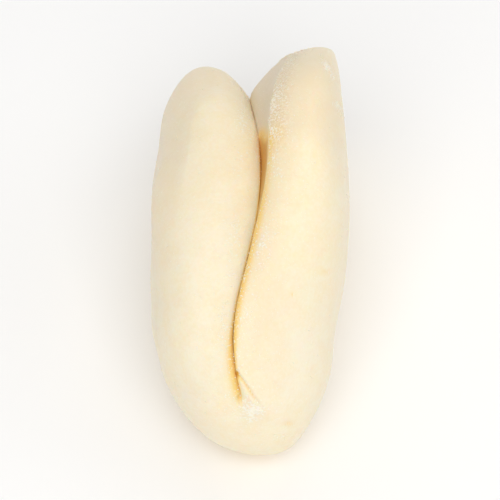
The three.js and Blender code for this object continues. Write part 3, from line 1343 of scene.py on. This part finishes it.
@dataclass
class BunSkin:
    """The bun's whole skin: the folded form, its relief and its finish."""

    rows: int = 220
    columns: int = 436
    form: FoldedDough = field(default_factory=FoldedDough)
    relief: SkinRelief = field(default_factory=SkinRelief)
    flour: FlourMap = field(default_factory=FlourMap)
    # Painted light and shade, golden marks and the knee.
    golden: PaintedLightAndMarks = field(default_factory=PaintedLightAndMarks)
    finish: SteamedDough = SteamedDough()
    # The relief fades in over this height above the floor.
    floor_fade: float = 1.0

    def fitted_grid(self) -> SkinGrid:
        """The plain form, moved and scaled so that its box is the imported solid's box.

        Returns:
            The grid in millimetres, in the frame's own place.
        """
        grid = self.form.skin_grid(self.rows, self.columns)
        low, high = (np.array(corner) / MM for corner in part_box(NODE))
        own_low = grid.points.min((0, 1))
        own_high = grid.points.max((0, 1))
        scale = (high - low) / (own_high - own_low)
        log.info("the form is scaled by %s to fit its solid", np.round(scale, 4))
        grid.points = low + (grid.points - own_low) * scale
        grid.normals = grid_normals(grid.points)
        return grid

    def build(self) -> tuple[bpy.types.Object, SkinGrid, Array]:
        """Makes the skin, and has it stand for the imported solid.

        Returns:
            The piece, its grid with the relief in it, and the flour at each point.
        """
        grid = self.fitted_grid()
        knee = self.golden.knee(grid)
        flour = self.flour.on(grid, knee)
        height = self.relief.on(grid, flour)
        height[[0, -1]] = height[[1, -2]].mean(1, keepdims=True)
        points = grid.points + grid.normals * height[..., None]
        pressed = smooth(grid.points[..., 2] / self.floor_fade)
        points[..., 2] = np.maximum(points[..., 2] * pressed, 0.0)
        grid.points = points
        grid.normals = grid_normals(points)
        # Painted shade, patches of painted light and shade, and golden marks go on as tints beside the flour
        # and the knee.
        tan = self.golden.tan(grid, self.relief.terrace)
        golden = self.golden.on(grid, tan)
        painted_light_and_shade = self.golden.painted_light_and_shade(grid)
        tints = {"flour": flour, "golden": golden, "tan": tan, "knee": knee, "painted_light_and_shade": painted_light_and_shade}
        tints = {name: self.flattened(values) for name, values in tints.items()}
        quads, triangles = closed_grid_faces(self.rows, self.columns)
        faces = quads.tolist() + triangles.tolist()
        piece = make_piece("bun_skin", self.flattened(points), faces, self.finish.material(), tints)
        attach(piece, BODY)
        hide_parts(NODE)
        log.info("%s: %d points, %d faces", piece.name, len(piece.data.vertices), len(piece.data.polygons))
        return piece, grid, flour

    def flattened(self, values: Array) -> Array:
        """A grid's values as one list, with each pole's row taken once."""
        inner = values[1:-1].reshape(-1, *values.shape[2:])
        return np.concatenate([values[:1, 0], inner, values[-1:, 0]])


@dataclass
class FlourGrains:
    """Loose grains of flour on the skin, thickest where it is floury, as one joined mesh."""

    grains: int = 2600
    smallest: float = 0.05
    largest: float = 0.17
    # Small grains are this much commoner than large ones, as a power of a random share.
    smallness: float = 2.2
    flatness: float = 0.6
    jitter: float = 0.25
    sunk: float = 0.35
    # Grains follow the flour's amount to this power, and lie a little all over, clear of the floor.
    flour_power: float = 1.5
    background: float = 0.012
    floor_gap: float = 1.5
    seed: int = 20
    finish: LooseFlour = LooseFlour()

    def grain_shape(self) -> tuple[Array, Array]:
        """An icosahedron: the corners (0, 1, g), with g the golden ratio, turned and mirrored.

        Returns:
            Its 12 points on the unit ball, and its 20 faces.
        """
        golden = (1 + math.sqrt(5)) / 2
        signs = np.array([(a, b) for a in (-1, 1) for b in (-1, 1)], float)
        zero = np.zeros(len(signs))
        corner = [zero, signs[:, 0], signs[:, 1] * golden]
        points = np.concatenate([np.stack(np.roll(corner, shift, 0), -1) for shift in range(3)])
        # Neighbours are 2 apart, and a face's corners turn the way that looks outwards.
        edge = 2.0
        near = np.linalg.norm(points[:, None] - points[None], axis=-1) < 1.05 * edge
        faces = [
            (a, b, c)
            for a, b, c in product(range(len(points)), repeat=3)
            if a < b
            and a < c
            and b != c
            and near[a, b]
            and near[b, c]
            and near[c, a]
            and np.linalg.det(points[[a, b, c]]) > 0
        ]
        return points / np.linalg.norm(points[0]), np.array(faces)

    def build(self, grid: SkinGrid, flour: Array) -> bpy.types.Object:
        """Scatters turned, squashed grains over the skin, more of them where flour is thick.

        Args:
            grid: The skin, with its relief.
            flour: The flour at each of its points.

        Returns:
            The piece.
        """
        rng = np.random.default_rng(self.seed)
        points = grid.points[1:-1]
        across = np.linalg.norm(np.roll(points, -1, 1) - points, axis=-1)
        down = np.linalg.norm(np.gradient(points, axis=0), axis=-1)
        bare = (grid.flat.skin[1:-1] <= INNER_SKIN) | (points[..., 2] <= self.floor_gap)
        amount = np.where(bare, 0.0, flour[1:-1] ** self.flour_power + self.background)
        weight = across * down * amount
        chosen = rng.choice(weight.size, self.grains, p=(weight / weight.sum()).ravel())
        row, column = np.unravel_index(chosen, weight.shape)
        beside = (column + 1) % points.shape[1]
        share = rng.random((self.grains, 1))
        place = points[row, column] * (1 - share) + points[row, beside] * share
        normal = grid.normals[1:-1][row, column]
        spread = rng.random((self.grains, 1)) ** self.smallness
        size = self.smallest + (self.largest - self.smallest) * spread
        shape, faces = self.grain_shape()
        spin = np.linalg.qr(rng.standard_normal((self.grains, 3, 3)))[0]
        stretch = 1 - (1 - self.flatness) * rng.random((self.grains, 1, 3))
        jitter = 1 + self.jitter * (rng.random((self.grains, len(shape), 1)) - 0.5)
        grains = (shape[None] * jitter * stretch * size[:, :, None]) @ spin
        grains = grains + (place + normal * size * (1 - self.sunk))[:, None]
        mirrored = (np.linalg.det(spin) < 0)[:, None, None]
        first = np.arange(self.grains)[:, None, None] * len(shape)
        faces = np.where(mirrored, faces[None, :, ::-1], faces[None]) + first
        finish = self.finish.material()
        piece = make_piece("flour_grains", grains.reshape(-1, 3), faces.reshape(-1, 3).tolist(), finish)
        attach(piece, BODY)
        log.info("%s: %d grains, %d faces", piece.name, self.grains, len(piece.data.polygons))
        return piece


# ---- The studio ----


def direction(azimuth: float, elevation: float) -> Vector:
    """The way from the bun toward a place round it: azimuth 0 is -Y, and 90 is +X.

    Args:
        azimuth: Degrees round.
        elevation: Degrees above the floor.

    Returns:
        A unit vector.
    """
    round_ = math.radians(azimuth)
    up = math.radians(elevation)
    return Vector((math.sin(round_) * math.cos(up), -math.cos(round_) * math.cos(up), math.sin(up)))


@dataclass(frozen=True)
class Softbox:
    """A square soft light, as the share of full white that it lays on a white sheet facing it."""

    name: str
    azimuth: float
    elevation: float
    distance: float
    side: float
    brightness: float
    colour: tuple[float, float, float] = (1.0, 1.0, 1.0)

    def build(self, middle: Vector) -> None:
        """Places the light, looking at the bun.

        Its power is its brightness times the square of pi times the distance.

        Args:
            middle: The middle of the bun, in metres.
        """
        light = bpy.data.lights.new(self.name, "AREA")
        light.shape = "SQUARE"
        light.size = self.side
        light.color = self.colour
        light.energy = self.brightness * (math.pi * self.distance) ** 2
        holder = bpy.data.objects.new(self.name, light)
        toward = direction(self.azimuth, self.elevation)
        holder.location = middle + toward * self.distance
        holder.rotation_mode = "QUATERNION"
        holder.rotation_quaternion = toward.to_track_quat("Z", "Y")
        bpy.context.scene.collection.objects.link(holder)


@dataclass
class Studio:
    """A pale floor, white surroundings, a few soft lights and the camera."""

    floor_half: float = 6.0
    surroundings: float = 0.51
    lights: tuple[Softbox, ...] = (
        Softbox("front_light", 0, 52, 1.0, 0.8, 0.58, (1.0, 0.98, 0.94)),
        Softbox("right_light", 95, 35, 1.0, 0.8, 0.11, (1.0, 0.94, 0.85)),
        Softbox("back_light", 180, 45, 1.0, 0.8, 0.18),
    )
    floor_finish: PaleFloor = PaleFloor()
    elevation: float = 52.0
    distance: float = 1.2
    sensor: float = 36.0
    fill_share: float = 0.8
    clip_start: float = 0.05
    clip_end: float = 50.0
    bounces: int = 12

    def build_floor(self) -> bpy.types.Object:
        """One large square at height 0.

        Returns:
            The floor.
        """
        half = self.floor_half / MM
        corners = np.array([(-half, -half, 0), (half, -half, 0), (half, half, 0), (-half, half, 0)], float)
        floor = make_piece("floor", corners, [[0, 1, 2, 3]], self.floor_finish.material())
        return floor

    def build_world(self) -> None:
        """Even white light from all round."""
        world = bpy.data.worlds.new("white_surroundings")
        world.use_nodes = True
        background = world.node_tree.nodes["Background"]
        background.inputs["Color"].default_value = (1.0, 1.0, 1.0, 1.0)
        background.inputs["Strength"].default_value = self.surroundings
        bpy.context.scene.world = world

    def build_camera(self, points: Array) -> bpy.types.Object:
        """A long lens that looks down on the bun, with the bun in the middle of a square view.

        The lens is the sensor's width times the distance over the height that the view takes in.

        Args:
            points: Points of the bun, in metres.

        Returns:
            The camera.
        """
        back = direction(0.0, self.elevation)
        up = np.array(direction(180.0, 90.0 - self.elevation))
        across = points[:, 0]
        along = points @ up
        middle = Vector((across.min() + across.max(), 0.0, 0.0)) / 2
        middle += Vector(up) * (along.min() + along.max()) / 2
        camera = bpy.data.cameras.new("camera")
        camera.sensor_width = self.sensor
        camera.lens = self.sensor * self.distance * self.fill_share / np.ptp(along)
        camera.clip_start = self.clip_start
        camera.clip_end = self.clip_end
        holder = bpy.data.objects.new("camera", camera)
        holder.location = middle + back * self.distance
        holder.rotation_mode = "QUATERNION"
        holder.rotation_quaternion = back.to_track_quat("Z", "Y")
        bpy.context.scene.collection.objects.link(holder)
        bpy.context.scene.camera = holder
        return holder

    def build(self, points: Array) -> None:
        """Makes the whole studio.

        Args:
            points: Points of the bun, in metres.
        """
        self.build_floor()
        self.build_world()
        middle = Vector((points.min(0) + points.max(0)) / 2)
        for light in self.lights:
            light.build(middle)
        camera = self.build_camera(points)
        scene = bpy.context.scene
        scene.view_settings.view_transform = "Standard"
        scene.cycles.max_bounces = self.bounces
        scene.cycles.diffuse_bounces = self.bounces
        log.info("camera lens %.0f mm, %d lights", camera.data.lens, len(self.lights))


# ---- The whole ----


def main() -> None:
    """Builds the skin, the loose flour and the studio, and reports each."""
    logging.basicConfig(level=logging.INFO, format="%(name)s: %(message)s")
    _, grid, flour = BunSkin().build()
    FlourGrains().build(grid, flour)
    Studio().build(grid.points.reshape(-1, 3) * MM)


if __name__ == "__main__":
    main()
